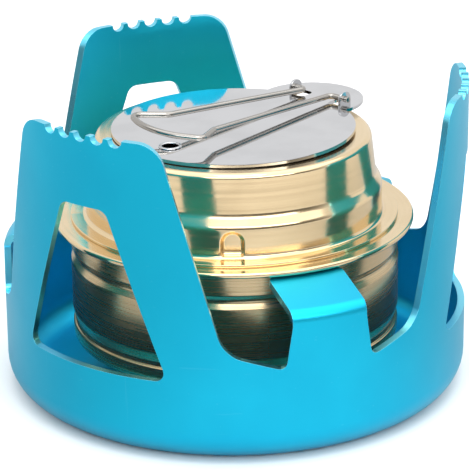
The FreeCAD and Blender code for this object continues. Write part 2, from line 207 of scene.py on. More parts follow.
def add_object(bm: BMesh, name: str) -> Object:
    """Makes an object of a mesh as it is.

    Args:
        bm: The mesh, which is freed.
        name: The object's name.

    Returns:
        The object.
    """
    mesh = bpy.data.meshes.new(name)
    bm.to_mesh(mesh)
    bm.free()
    obj = bpy.data.objects.new(name, mesh)
    bpy.context.scene.collection.objects.link(obj)
    return obj


def shade_evenly(obj: Object, sharp_deg: float) -> None:
    """Marks an object's crisp edges and evens the shading between them.

    Args:
        obj: The object.
        sharp_deg: Edges that turn by more than this stay crisp.
    """
    obj.data.set_sharp_from_angle(angle=math.radians(sharp_deg))
    weighted = obj.modifiers.new("even shading", "WEIGHTED_NORMAL")
    weighted.mode = "FACE_AREA"
    weighted.keep_sharp = True


def finished(bm: BMesh, name: str, sharp_deg: float = SHARP_DEG) -> Object:
    """Turns a mesh in millimetres into an object at the origin, in metres.

    Args:
        bm: The mesh, which is freed.
        name: The object's name.
        sharp_deg: Edges that turn by more than this stay crisp.

    Returns:
        The new object.
    """
    bmesh.ops.scale(bm, vec=(MM, MM, MM), verts=bm.verts[:])
    obj = add_object(bm, name)
    obj.data.polygons.foreach_set("use_smooth", [True] * len(obj.data.polygons))
    shade_evenly(obj, sharp_deg)
    return obj


def evaluated_mesh(obj: Object) -> bpy.types.Mesh:
    """A new mesh of an object with its modifiers or its bevel applied."""
    return bpy.data.meshes.new_from_object(
        obj.evaluated_get(bpy.context.evaluated_depsgraph_get()))


def boolean(target: Object, tool: Object, operation: str) -> None:
    """Joins or cuts one object with another, which is removed.

    Args:
        target: The object that changes.
        tool: The object that joins or cuts it.
        operation: UNION or DIFFERENCE.
    """
    modifier = target.modifiers.new("shape", "BOOLEAN")
    modifier.operation = operation
    modifier.solver = "EXACT"
    modifier.object = tool
    bpy.context.view_layer.update()
    mesh, old = evaluated_mesh(target), target.data
    target.modifiers.clear()
    target.data = mesh
    mesh.name = target.name
    bpy.data.meshes.remove(old)
    bpy.data.objects.remove(tool)


def drill(piece: Object, radius: float, depth: float, places: list[Matrix], segments: int
          ) -> None:
    """Drills round holes through a finished piece.

    Args:
        piece: The piece.
        radius: The holes' radius.
        depth: The drill's length.
        places: Where each hole's middle is, and its direction.
        segments: How many sides each hole has.
    """
    bm = bmesh.new()
    for place in places:
        add_bar(bm, radius, depth, place, segments)
    tool = finished(bm, "drill")
    for obj in (piece, tool):
        obj.modifiers.clear()
    boolean(piece, tool, "DIFFERENCE")
    shade_evenly(piece, SHARP_DEG)


def dress(obj: Object, material: Material, body: Body, node: str) -> None:
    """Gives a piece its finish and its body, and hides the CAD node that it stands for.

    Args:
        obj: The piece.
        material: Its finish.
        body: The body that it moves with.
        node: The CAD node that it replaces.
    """
    obj.data.materials.clear()
    obj.data.materials.append(material)
    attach(obj, body.value)
    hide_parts(node)
    LOG.info("%s: %d faces, on %s", obj.name, len(obj.data.polygons), body.value)


# ---- Finishes ----
class NodeSheet:
    """A node tree that is filled in step by step."""

    def __init__(self, tree: NodeTree) -> None:
        """Starts on an empty tree."""
        self.tree = tree
        tree.nodes.clear()

    def feed(self, node: Node, values: Values) -> None:
        """Gives a node's inputs their values.

        Args:
            node: The node.
            values: For each input, the socket that feeds it or a plain value.
        """
        for key, value in values.items():
            if isinstance(value, NodeSocket):
                self.tree.links.new(value, node.inputs[key])
            else:
                node.inputs[key].default_value = value

    def add(self, kind: str, values: Values | None = None, **settings: object) -> Node:
        """Adds a node.

        Args:
            kind: Its type.
            values: What feeds its inputs.
            settings: Its properties.

        Returns:
            The node.
        """
        node = self.tree.nodes.new(kind)
        for key, value in settings.items():
            setattr(node, key, value)
        self.feed(node, values or {})
        return node

    def math(self, operation: str, *values: object, clamp: bool = False) -> NodeSocket:
        """Adds a Math node.

        Args:
            operation: What it works out.
            values: Its inputs, sockets or numbers.
            clamp: Whether the result stays between 0 and 1.

        Returns:
            Its result.
        """
        return self.add("ShaderNodeMath", dict(enumerate(values)), operation=operation,
                        use_clamp=clamp).outputs[0]

    def plus(self, base: object, mask: NodeSocket, share: float) -> NodeSocket:
        """Adds a share of a mask to a value."""
        return self.math("ADD", base, self.math("MULTIPLY", mask, share))

    def ramp(self, value: NodeSocket, span: Span, falling: bool = False) -> NodeSocket:
        """Maps a value smoothly to 0 to 1.

        Args:
            value: The value.
            span: Where the change starts and ends.
            falling: Whether it goes from 1 to 0 instead.

        Returns:
            The mapped value.
        """
        return self.add("ShaderNodeMapRange", {
            "Value": value, "From Min": span[0], "From Max": span[1],
            "To Min": float(falling), "To Max": float(not falling),
        }, interpolation_type="SMOOTHSTEP").outputs["Result"]

    def noise(self, vector: NodeSocket, scale: object, detail: float, roughness: float = 0.5
              ) -> NodeSocket:
        """Adds a noise pattern.

        Args:
            vector: Its coordinates.
            scale: Its fineness, a number or a socket.
            detail: Its octaves.
            roughness: How strong the fine octaves are.

        Returns:
            Its value.
        """
        return self.add("ShaderNodeTexNoise", {
            "Vector": vector, "Scale": scale, "Detail": detail, "Roughness": roughness,
        }).outputs["Fac"]

    def stretched(self, vector: NodeSocket, scale: Point, turn: Point = (0, 0, 0)) -> NodeSocket:
        """Scales and turns coordinates.

        Args:
            vector: The coordinates.
            scale: Factor along each axis.
            turn: Turn about each axis, in degrees.

        Returns:
            The new coordinates.
        """
        return self.add("ShaderNodeMapping", {
            "Vector": vector, "Scale": scale, "Rotation": [math.radians(a) for a in turn],
        }, vector_type="POINT").outputs["Vector"]

    def blend(self, factor: NodeSocket, first: object, second: object) -> NodeSocket:
        """Blends two colours.

        Args:
            factor: 0 gives the first, 1 the second.
            first: A colour or a socket.
            second: A colour or a socket.

        Returns:
            The blended colour.
        """
        ends = [c if isinstance(c, NodeSocket) else (*c, 1.0) for c in (first, second)]
        return self.add("ShaderNodeMix", {"Factor": factor, 6: ends[0], 7: ends[1]},
                        data_type="RGBA").outputs[2]

    def bump(self, height: NodeSocket, distance: float, strength: float) -> NodeSocket:
        """Turns a height into a normal.

        Args:
            height: The height.
            distance: How far a height of 1 stands up, in metres.
            strength: How strongly it shows.

        Returns:
            The normal.
        """
        return self.add("ShaderNodeBump", {
            "Height": height, "Distance": distance, "Strength": strength,
        }).outputs["Normal"]


def new_group(name: str, inputs: dict[str, float], outputs: list[str]
              ) -> tuple[NodeTree, NodeSheet, Node, Node]:
    """Starts a shader node group with a Vector input.

    Args:
        name: The group's name.
        inputs: Its number inputs and their defaults.
        outputs: Its number outputs.

    Returns:
        The group, its sheet, its input node and its output node.
    """
    tree = bpy.data.node_groups.new(name, "ShaderNodeTree")
    tree.interface.new_socket(name="Vector", in_out="INPUT", socket_type="NodeSocketVector")
    for key, value in inputs.items():
        socket = tree.interface.new_socket(name=key, in_out="INPUT",
                                           socket_type="NodeSocketFloat")
        socket.default_value = value
    for key in outputs:
        tree.interface.new_socket(name=key, in_out="OUTPUT", socket_type="NodeSocketFloat")
    sheet = NodeSheet(tree)
    return tree, sheet, sheet.add("NodeGroupInput"), sheet.add("NodeGroupOutput")


class Workshop:
    """Node groups shared by the finishes, each built once."""

    ring_span: Span = (0.35, 0.68)
    haze_span: Span = (0.38, 0.68)
    scratch_span: Span = (0.74, 0.80)
    scratch_ways: tuple[tuple[Point, Point], ...] = (
        ((12, 31, 64), (22, 1400, 1400)), ((71, 8, 23), (1300, 26, 1300)),
        ((40, 66, 5), (1500, 1500, 30)))

    def __init__(self) -> None:
        """Builds the groups."""
        self.turning = self.turning_marks()
        self.haze = self.handling_haze()
        self.scratches = self.hairline_scratches()

    def turning_marks(self) -> NodeTree:
        """Fine rings left by spinning and polishing, which run round the Z axis.

        Returns:
            The group.
        """
        tree, sheet, start, end = new_group(
            "turning marks", {"Density": 900.0, "Drift": 6.0}, ["Height", "Mask"])
        density, drift = start.outputs["Density"], start.outputs["Drift"]
        x, y, z = sheet.add("ShaderNodeSeparateXYZ", {0: start.outputs["Vector"]}).outputs
        squares = sheet.math("ADD", sheet.math("MULTIPLY", x, x), sheet.math("MULTIPLY", y, y))
        along = sheet.math("ADD", z, sheet.math("SQRT", squares))
        place = sheet.add("ShaderNodeCombineXYZ", {
            0: sheet.math("MULTIPLY", x, drift), 1: sheet.math("MULTIPLY", y, drift),
            2: sheet.math("MULTIPLY", along, density)})
        fine = sheet.noise(place.outputs[0], 1.0, 4.0, 0.6)
        sheet.feed(end, {"Height": fine, "Mask": sheet.ramp(fine, self.ring_span)})
        return tree

    def handling_haze(self) -> NodeTree:
        """Soft cloudy patches, as from handling.

        Returns:
            The group.
        """
        tree, sheet, start, end = new_group("handling haze", {"Scale": 60.0}, ["Mask"])
        cloud = sheet.noise(start.outputs["Vector"], start.outputs["Scale"], 3.0)
        sheet.feed(end, {"Mask": sheet.ramp(cloud, self.haze_span)})
        return tree

    def hairline_scratches(self) -> NodeTree:
        """Sparse hairline scratches that run a few ways.

        Returns:
            The group.
        """
        tree, sheet, start, end = new_group("hairline scratches", {"Amount": 1.0}, ["Mask"])
        total = 0.0
        for turn, scale in self.scratch_ways:
            place = sheet.stretched(start.outputs["Vector"], scale, turn)
            thin = sheet.ramp(sheet.noise(place, 1.0, 1.0), self.scratch_span)
            total = sheet.math("MAXIMUM", total, thin)
        amount = sheet.math("MULTIPLY", total, start.outputs["Amount"], clamp=True)
        sheet.feed(end, {"Mask": amount})
        return tree

    def place(self, sheet: NodeSheet, tree: NodeTree, vector: NodeSocket, **values: float
              ) -> Node:
        """Places a group in a material.

        Args:
            sheet: The material's sheet.
            tree: The group.
            vector: Its coordinates.
            values: Its numbers.

        Returns:
            The group's node.
        """
        return sheet.add("ShaderNodeGroup", {"Vector": vector, **values}, node_tree=tree)

    def hazed(self, sheet: NodeSheet, vector: NodeSocket, scale: float) -> NodeSocket:
        """Mask of the haze in a material."""
        return self.place(sheet, self.haze, vector, Scale=scale).outputs["Mask"]

    def scratched(self, sheet: NodeSheet, vector: NodeSocket, amount: float) -> NodeSocket:
        """Mask of the scratches in a material."""
        return self.place(sheet, self.scratches, vector, Amount=amount).outputs["Mask"]


def start_material(name: str) -> tuple[Material, NodeSheet, Node, NodeSocket]:
    """Starts a material with a Principled shader.

    Args:
        name: The material's name.

    Returns:
        The material, its sheet, its shader and its Object coordinates.
    """
    material = bpy.data.materials.new(name)
    material.use_nodes = True
    sheet = NodeSheet(material.node_tree)
    shader = sheet.add("ShaderNodeBsdfPrincipled")
    sheet.add("ShaderNodeOutputMaterial", {0: shader.outputs[0]})
    return material, sheet, shader, sheet.add("ShaderNodeTexCoord").outputs["Object"]


@dataclass(frozen=True)
class AnodisedFinish:
    """Satin anodised aluminium, paler where the sheet was cut."""

    name: str = "anodised sky blue"
    colour: Point = (0.007, 0.53, 0.78)
    deep_colour: Point = (0.006, 0.50, 0.75)
    edge_colour: Point = (0.16, 0.70, 0.90)
    roughness: float = 0.36
    haze_roughness: float = 0.05
    cut_polish: float = 0.10
    haze_scale: float = 45.0
    scratch_amount: float = 0.35
    scratch_tint: float = 0.35
    coat: float = 0.2
    coat_roughness: float = 0.3
    grain_scale: float = 5200.0
    grain_depth: float = 0.00002
    grain_strength: float = 0.30

    def make(self, shop: Workshop) -> Material:
        """Builds the material.

        Args:
            shop: The shared node groups.

        Returns:
            The material.
        """
        material, sheet, shader, place = start_material(self.name)
        haze = shop.hazed(sheet, place, self.haze_scale)
        lines = shop.scratched(sheet, place, self.scratch_amount)
        cut = sheet.add("ShaderNodeAttribute", attribute_name="cut_edge").outputs["Fac"]
        body = sheet.blend(haze, self.colour, self.deep_colour)
        tint = sheet.math("MULTIPLY", lines, self.scratch_tint)
        lined = sheet.blend(tint, body, self.edge_colour)
        rough = sheet.plus(self.roughness, haze, self.haze_roughness)
        grain = sheet.noise(place, self.grain_scale, 2.0, 0.6)
        sheet.feed(shader, {
            "Base Color": sheet.blend(cut, lined, self.edge_colour),
            "Roughness": sheet.plus(rough, cut, -self.cut_polish),
            "Metallic": 1.0,
            "Coat Weight": self.coat,
            "Coat Roughness": self.coat_roughness,
            "Normal": sheet.bump(grain, self.grain_depth, self.grain_strength),
        })
        return material


@dataclass(frozen=True)
class BrassFinish:
    """Brass with marks that run round it."""

    name: str
    colour: Point
    tarnish: Point
    roughness: float
    density: float
    wave: float
    line_depth: float = 0.000003
    line_roughness: float = 0.08
    scratch_roughness: float = 0.08
    haze_share: float = 0.6
    drift: float = 8.0
    haze_scale: float = 70.0
    scratch_amount: float = 0.5
    wave_scale: float = 55.0
    metallic: float = 0.97

    def make(self, shop: Workshop) -> Material:
        """Builds the material.

        Args:
            shop: The shared node groups.

        Returns:
            The material.
        """
        material, sheet, shader, place = start_material(self.name)
        marks = shop.place(sheet, shop.turning, place, Density=self.density, Drift=self.drift)
        rings = marks.outputs["Mask"]
        haze = shop.hazed(sheet, place, self.haze_scale)
        lines = shop.scratched(sheet, place, self.scratch_amount)
        streak = sheet.math("MULTIPLY", sheet.math("ADD", rings, haze), 0.5)
        rough = sheet.plus(self.roughness, rings, self.line_roughness)
        rough = sheet.plus(rough, haze, self.line_roughness * self.haze_share)
        waves = sheet.noise(place, self.wave_scale, 1.0)
        height = sheet.plus(marks.outputs["Height"], waves, self.wave)
        sheet.feed(shader, {
            "Base Color": sheet.blend(streak, self.colour, self.tarnish),
            "Roughness": sheet.plus(rough, lines, self.scratch_roughness),
            "Metallic": self.metallic,
            "Normal": sheet.bump(height, self.line_depth, 1.0),
        })
        return material


@dataclass(frozen=True)
class SteelFinish:
    """Bright steel with faint hairlines."""

    name: str
    colour: Point
    roughness: float
    haze_roughness: float
    scratch_amount: float
    haze_tone: float = 0.92
    haze_scale: float = 90.0
    scratch_roughness: float = 0.12

    def make(self, shop: Workshop) -> Material:
        """Builds the material.

        Args:
            shop: The shared node groups.

        Returns:
            The material.
        """
        material, sheet, shader, place = start_material(self.name)
        haze = shop.hazed(sheet, place, self.haze_scale)
        lines = shop.scratched(sheet, place, self.scratch_amount)
        darker = tuple(c * self.haze_tone for c in self.colour)
        rough = sheet.plus(self.roughness, haze, self.haze_roughness)
        sheet.feed(shader, {
            "Base Color": sheet.blend(haze, self.colour, darker),
            "Roughness": sheet.plus(rough, lines, self.scratch_roughness),
            "Metallic": 1.0,
        })
        return material


@dataclass(frozen=True)
class FeltFinish:
    """Off-white mineral felt."""

    name: str = "mineral felt"
    colour: Point = (0.70, 0.66, 0.57)
    shade: Point = (0.52, 0.48, 0.40)
    fibre_scale: Point = (900, 900, 260)
    fibre_depth: float = 0.0003
    fibre_strength: float = 0.8
    haze_scale: float = 120.0
    roughness: float = 0.95
    sheen: float = 0.3

    def make(self, shop: Workshop) -> Material:
        """Builds the material.

        Args:
            shop: The shared node groups.

        Returns:
            The material.
        """
        material, sheet, shader, place = start_material(self.name)
        fibres = sheet.noise(sheet.stretched(place, self.fibre_scale), 1.0, 5.0, 0.7)
        haze = shop.hazed(sheet, place, self.haze_scale)
        mixed = sheet.math("MULTIPLY", sheet.math("ADD", fibres, haze), 0.5)
        sheet.feed(shader, {
            "Base Color": sheet.blend(mixed, self.colour, self.shade),
            "Roughness": self.roughness,
            "Sheen Weight": self.sheen,
            "Normal": sheet.bump(fibres, self.fibre_depth, self.fibre_strength),
        })
        return material


class Finishes:
    """Every finish of the stove, made once."""

    def __init__(self, shop: Workshop) -> None:
        """Makes the materials.

        Args:
            shop: The shared node groups.
        """
        self.blue = AnodisedFinish().make(shop)
        self.satin_brass = BrassFinish("drawn brass", (0.62, 0.49, 0.30), (0.52, 0.40, 0.23),
                                       roughness=0.20, density=2600.0, wave=6.0).make(shop)
        self.bright_brass = BrassFinish("polished brass", (0.84, 0.665, 0.41),
                                        (0.79, 0.61, 0.36), roughness=0.11, density=1500.0,
                                        wave=8.0).make(shop)
        self.mirror = SteelFinish("mirror steel", (0.63, 0.635, 0.645), roughness=0.035,
                                  haze_roughness=0.03, scratch_amount=0.4).make(shop)
        self.wire = SteelFinish("bright wire", (0.42, 0.40, 0.37), roughness=0.14,
                                haze_roughness=0.06, scratch_amount=1.0).make(shop)
        self.felt = FeltFinish().make(shop)


# ---- Pot stand ----
@dataclass
class PotStand:
    """One sheet, pierced flat as a blank and drawn to a stand with three arms and three tabs."""

    radius: float = 49.0
    height: float = 66.6
    sheet: float = 1.5
    base_radius: float = 7.2
    sector_deg: float = 60.0
    arm_top_deg: float = 20.2
    arm_foot_deg: float = 34.6
    arm_foot_z: float = 24.0
    arm_foot_radius: float = 6.5
    arm_corner: float = 5.5
    tooth_pitch_deg: float = 4.84
    tooth_gap_radius: float = 1.5
    window_low_z: float = 17.7
    window_high_z: float = 51.9
    window_low_deg: float = 21.4
    window_high_deg: float = 6.5
    gap_low_z: float = 20.3
    gap_low_deg: float = 49.0
    gap_cut_deg: float = 35.0
    tab_half: float = 8.0
    tab_slope_deg: float = 16.0
    tab_tip_radius: float = 36.3
    tab_tip_z: float = 35.6
    tab_bend: float = 2.6
    tab_corner: float = 2.2
    edge_round: float = 0.2
    tooth_corner: float = 0.2
    window_low_corner: float = 2.0
    window_high_corner: float = 2.4
    gap_corner: float = 1.5
    tab_relief: float = 0.6
    tab_margin_deg: float = 5.0
    fan_margin_deg: float = 2.0
    seam: float = 1e-3
    strip_deg: float = 1.25
    floor_rings: tuple[float, ...] = (0.3, 0.6, 0.85)
    flat_normal: float = 0.97
    rim_turn: float = 0.5
    sharp_deg: float = 40.0
    base_rows: int = 12
    bend_rows: int = 10

    def __post_init__(self) -> None:
        """Works out where the blank bends."""
        slope = math.radians(self.tab_slope_deg)
        crest = self.tab_tip_z - (self.radius - self.tab_tip_radius) * math.tan(slope)
        turn = math.pi / 2 - slope
        back = self.tab_bend * math.tan(turn / 2)
        self.bend_turn = turn
        self.bend_low = crest - back
        self.bend_high = self.bend_low + self.tab_bend * turn
        bend_end = self.radius - self.tab_bend + self.tab_bend * math.cos(turn)
        self.tip = self.bend_high + (bend_end - self.tab_tip_radius) / math.cos(slope)
        self.floor_start = self.base_radius * (1 - math.pi / 2)
        self.centre = self.floor_start - (self.radius - self.base_radius)

    def along(self, degrees: float) -> float:
        """Length round the wall for an angle."""
        return self.radius * math.radians(degrees)

    def blank_corners(self) -> list[Corner]:
        """Outline of a sixth of the blank, from an arm's middle to a tab's middle.

        Returns:
            Its corners, as length round the wall, height up the wall and radius.
        """
        top, gap = self.height, self.tooth_gap_radius
        tab_edge = (self.along(self.sector_deg)
                    - self.radius * math.asin(self.tab_half / self.radius))
        tip = self.tooth_corner
        corners = [
            (0, self.centre, 0),
            (0, self.window_low_z, 0),
            (self.along(self.window_low_deg), self.window_low_z, self.window_low_corner),
            (self.along(self.window_high_deg), self.window_high_z, self.window_high_corner),
            (0, self.window_high_z, 0),
            (0, top - gap, 0),
            (gap, top - gap, gap),
            (gap, top, tip),
        ]
        for k in (1, 2):
            middle = self.along(self.tooth_pitch_deg) * k
            corners += [(middle - gap, top, tip), (middle - gap, top - gap, gap),
                        (middle + gap, top - gap, gap), (middle + gap, top, tip)]
        corners += [
            (self.along(self.arm_top_deg), top, self.arm_corner),
            (self.along(self.arm_foot_deg), self.arm_foot_z, self.arm_foot_radius),
            (self.along(self.gap_low_deg), self.gap_low_z, self.gap_corner),
            (tab_edge, self.bend_low - self.tab_relief, 0),
            (tab_edge, self.tip, self.tab_corner),
            (self.along(self.sector_deg), self.tip, 0),
            (self.along(self.sector_deg), self.centre, 0),
        ]
        return corners

    def pierce_deg(self, degrees: float, up: float) -> float:
        """Direction that the sheet was pierced in, near a point of the blank.

        Args:
            degrees: Angle of the point from the arm's middle.
            up: Height of the point up the wall.

        Returns:
            The direction's angle from the arm's middle.
        """
        if up >= self.bend_low and degrees > self.gap_cut_deg:
            return self.sector_deg
        if degrees >= self.gap_cut_deg:
            start = self.gap_low_deg + self.fan_margin_deg
            late = max(0.0, (degrees - start) / (self.sector_deg - start))
            return self.gap_cut_deg + (self.sector_deg - self.gap_cut_deg) * late
        share = (up - self.window_low_z) / (self.window_high_z - self.window_low_z)
        share = max(0.0, min(1.0, share))
        inner = self.window_low_deg + (self.window_high_deg - self.window_low_deg) * share
        outer = max(inner + 1, self.arm_foot_deg + (self.arm_top_deg - self.arm_foot_deg)
                    * (up - self.arm_foot_z) / (self.height - self.arm_foot_z))
        weight = max(0.0, min(1.0, (degrees - inner) / (outer - inner)))
        return self.gap_cut_deg * weight

    def section(self, up: float, depth: float, on_tab: bool) -> tuple[float, float]:
        """Radius and height of a point of the formed sheet.

        Args:
            up: Height up the wall on the blank.
            depth: Depth below the outer face.
            on_tab: Whether the point is on a tab.

        Returns:
            The radius and the height.
        """
        if on_tab and up > self.bend_low:
            turn = min(self.bend_turn, (up - self.bend_low) / self.tab_bend)
            bend = self.tab_bend - depth
            beyond = max(0.0, up - self.bend_high)
            out = self.radius - self.tab_bend + bend * math.cos(turn)
            return (out - beyond * math.sin(self.bend_turn),
                    self.bend_low + bend * math.sin(turn) + beyond * math.cos(self.bend_turn))
        if up >= self.base_radius:
            return self.radius - depth, up
        turn = min(math.pi / 2, (self.base_radius - up) / self.base_radius)
        bend = self.base_radius - depth
        beyond = max(0.0, self.floor_start - up)
        return (self.radius - self.base_radius + bend * math.cos(turn) - beyond,
                self.base_radius - bend * math.sin(turn))

    def formed(self, point: Vector) -> Vector:
        """Takes a point of the blank to its place on the formed stand.

        Args:
            point: Length round the wall, height up the wall, and minus the depth.

        Returns:
            The place.
        """
        side = -1.0 if point.x < 0 else 1.0
        degrees = math.degrees(abs(point.x) / self.radius)
        depth = -point.z
        on_tab = degrees > self.gap_cut_deg + self.tab_margin_deg
        radius, z = self.section(point.y, depth, on_tab)
        if on_tab and point.y > self.bend_low:
            sideways = self.radius * math.sin(math.radians(self.sector_deg - degrees))
            angle = math.radians(self.sector_deg) - math.asin(sideways / radius)
        else:
            off = math.radians(degrees - self.pierce_deg(degrees, point.y))
            share = self.radius * math.sin(off) / (self.radius - depth)
            angle = math.radians(degrees) + math.asin(max(-1.0, min(1.0, share))) - off
        radius = max(0.0, radius)
        return Vector((radius * math.cos(side * angle), radius * math.sin(side * angle), z))

    def blank(self) -> BMesh:
        """Builds a third of the blank, flat, with its cut edges rounded.

        Returns:
            The mesh, whose cut edges are marked.
        """
        bm = bmesh.new()
        add_outline(bm, self.blank_corners(), 6, Plane.FLAT)
        bmesh.ops.mirror(bm, geom=whole(bm), axis="X", merge_dist=MERGE)
        draw_out(bm, (0, 0, -self.sheet))
        limit = self.along(self.sector_deg)
        open_sides = [f for f in bm.faces
                      if all(abs(abs(v.co.x) - limit) < MERGE for v in f.verts)
                      or all(abs(v.co.y - self.centre) < MERGE for v in f.verts)]
        bmesh.ops.delete(bm, geom=open_sides, context="FACES_ONLY")
        face_out(bm)
        rims = [e for e in bm.edges if len(e.link_faces) == 2
                and abs(abs(e.link_faces[0].normal.z)
                        - abs(e.link_faces[1].normal.z)) > self.rim_turn]
        round_off(bm, rims, self.edge_round, 3)
        mark = bm.faces.layers.float.new("cut_edge")
        for face in bm.faces:
            face[mark] = 0.0 if abs(face.normal.z) > self.flat_normal else 1.0
        return bm

    def score(self, bm: BMesh) -> None:
        """Divides the blank where it will bend.

        Args:
            bm: The blank.
        """
        count = round(self.sector_deg / self.strip_deg)
        for i in range(1 - count, count):
            self.slice(bm, (self.along(i * self.strip_deg), 0, 0), (1, 0, 0))
        bends = ((self.base_radius, self.floor_start, self.base_rows),
                 (self.bend_low, self.bend_high, self.bend_rows))
        levels = [low + (high - low) * i / rows for low, high, rows in bends
                  for i in range(rows + 1)]
        levels += [self.floor_start - (self.radius - self.base_radius) * share
                   for share in self.floor_rings]
        for level in levels:
            self.slice(bm, (0, level, 0), (0, 1, 0))

    @staticmethod
    def slice(bm: BMesh, point: Point, normal: Point) -> None:
        """Divides a mesh by the plane through a point."""
        bmesh.ops.bisect_plane(bm, geom=whole(bm), dist=1e-5, plane_co=point, plane_no=normal)

    def build(self) -> Object:
        """Forms the stand.

        Returns:
            The piece.
        """
        bm = self.blank()
        self.score(bm)
        for vert in bm.verts:
            vert.co = self.formed(vert.co)
        third = whole(bm)
        for i in (1, 2):
            copy = bmesh.ops.duplicate(bm, geom=third)["geom"]
            turn = Matrix.Rotation(math.radians(2 * self.sector_deg * i), 3, "Z")
            bmesh.ops.rotate(bm, verts=[v for v in copy if isinstance(v, BMVert)],
                             cent=(0, 0, 0), matrix=turn)
        weld(bm, self.seam)
        bmesh.ops.dissolve_degenerate(bm, edges=bm.edges[:], dist=MERGE)
        face_out(bm)
        return finished(bm, "pot_stand_sheet", self.sharp_deg)


# ---- Burner ----
@dataclass
class Burner:
    """Drawn outer cup, top shell and felt wick; the well's wall comes with the frame."""

    flange_low: float = 35.65
    layer: float = 0.4
    flange_radius: float = 37.4
    cup_radius: float = 34.8
    cup_sheet: float = 0.6
    cup_low: float = 9.6
    foot_radius: float = 34.7
    foot_top: float = 13.7
    cove_radius: float = 34.2
    bead_z: float = 29.4
    bead_half: float = 1.5
    bead_depth: float = 0.8
    wick_inner: float = 22.1
    wick_outer: float = 32.6
    wick_low: float = 10.3
    wick_top: float = 33.0
    hem_radius: float = 36.2
    rim_radius: float = 37.9
    neck_radius: float = 28.9
    neck_top: float = 44.0
    crown_radius: float = 27.5
    crown_top: float = 47.6
    mouth_radius: float = 20.6
    mouth_top: float = 51.4
    tube_low: float = 38.0
    top_sheet: float = 0.5
    ridges: int = 3
    ridge_gap: float = 1.6
    ridge_height: float = 0.2
    ridge_half: float = 0.4
    ridge_start: float = 2.6
    jets: int = 24
    jet_radius: float = 0.6
    jet_depth: float = 6.0
    jet_lean_deg: float = 38.66
    jet_place: tuple[float, float] = (24.42, 49.2)
    turns: int = 240
    felt_turns: int = 180
    felt_cuts: int = 9
    felt_sink: float = 0.25
    felt_wave: float = 0.2
    felt_fineness: float = 0.9

    def cup_corners(self) -> list[Corner]:
        """Half outline of the cup's sheet.

        Returns:
            Its corners, as x, z and radius.
        """
        inner = self.cup_radius - self.cup_sheet
        low, high = self.flange_low + self.layer, self.flange_low + 2 * self.layer
        cove = self.cove_radius - self.cup_sheet
        return [
            (0, self.cup_low, 0),
            (self.foot_radius, self.cup_low, 2.2),
            (self.foot_radius, self.foot_top, 0.3),
            (self.cove_radius, self.foot_top + 0.2, 0.1),
            (self.cove_radius, self.foot_top + 1.2, 0.8),
            (self.cup_radius, self.foot_top + 3.4, 2.0),
            (self.cup_radius, self.bead_z - self.bead_half, 0.6),
            (self.cup_radius - self.bead_depth, self.bead_z, 1.0),
            (self.cup_radius, self.bead_z + self.bead_half, 0.6),
            (self.cup_radius, low, 0.3),
            (self.flange_radius, low, 0.15),
            (self.flange_radius, high, 0.15),
            (inner, high, 0.5),
            (inner, self.bead_z + self.bead_half + 0.3, 0.6),
            (inner - self.bead_depth, self.bead_z, 0.8),
            (inner, self.bead_z - self.bead_half - 0.3, 0.6),
            (inner, self.foot_top + 3.6, 1.5),
            (cove, self.foot_top + 1.0, 0.8),
            (cove, self.cup_low + self.cup_sheet, 1.6),
            (0, self.cup_low + self.cup_sheet, 0),
        ]

    def build_cup(self) -> Object:
        """Spins the outer cup.

        Returns:
            The piece.
        """
        bm = half_outline(self.cup_corners(), 6)
        spin_edges(bm, [(360, self.turns)])
        return finished(bm, "burner_outer_cup")

    def top_corners(self) -> list[Corner]:
        """Half outline of the top shell, with its hem round the cup's lip and its thread.

        Returns:
            Its corners, as x, z and radius.
        """
        low, sheet = self.flange_low, self.top_sheet
        under, over, top = low + self.layer, low + 2 * self.layer, low + 3 * self.layer
        outline = [
            (self.hem_radius, low, 0.1),
            (self.rim_radius, low, 0.5),
            (self.rim_radius, top, 0.5),
            (self.neck_radius, top, 0.4),
            (self.neck_radius, self.neck_top, 0.7),
            (self.crown_radius, self.neck_top + 1.0, 0.7),
            (self.crown_radius, self.crown_top, 1.2),
            (self.mouth_radius + 0.8, self.mouth_top, 0.4),
            (self.mouth_radius, self.mouth_top - 0.1, 0.25),
        ]
        for i in range(self.ridges):
            middle = self.mouth_top - self.ridge_start - i * self.ridge_gap
            outline += [(self.mouth_radius, middle + self.ridge_half, 0.1),
                        (self.mouth_radius - self.ridge_height, middle, 0.2),
                        (self.mouth_radius, middle - self.ridge_half, 0.1)]
        outline += [
            (self.mouth_radius, self.tube_low, 0.1),
            (self.mouth_radius + sheet, self.tube_low, 0.1),
            (self.mouth_radius + sheet, self.mouth_top - 1.3, 0.3),
            (self.crown_radius - sheet, self.crown_top - 0.5, 0.8),
            (self.crown_radius - sheet, self.neck_top + 0.7, 0.4),
            (self.neck_radius - sheet, self.neck_top - 0.3, 0.4),
            (self.neck_radius - sheet, over, 0.1),
            (self.rim_radius - self.layer, over, 0.1),
            (self.rim_radius - self.layer, under, 0.1),
            (self.hem_radius, under, 0.1),
        ]
        return outline

    def build_top(self) -> Object:
        """Spins the top shell and drills the ring of jets through its crown.

        Returns:
            The piece.
        """
        bm = half_outline(self.top_corners(), 5)
        spin_edges(bm, [(360, self.turns)])
        shell = finished(bm, "burner_top_shell")
        out, up = self.jet_place
        lean = (Matrix.Translation((out, 0, up))
                @ Matrix.Rotation(math.radians(self.jet_lean_deg), 4, "Y"))
        places = [Matrix.Rotation(math.tau * (i + 0.5) / self.jets, 4, "Z") @ lean
                  for i in range(self.jets)]
        drill(shell, self.jet_radius, self.jet_depth, places, 20)
        return shell

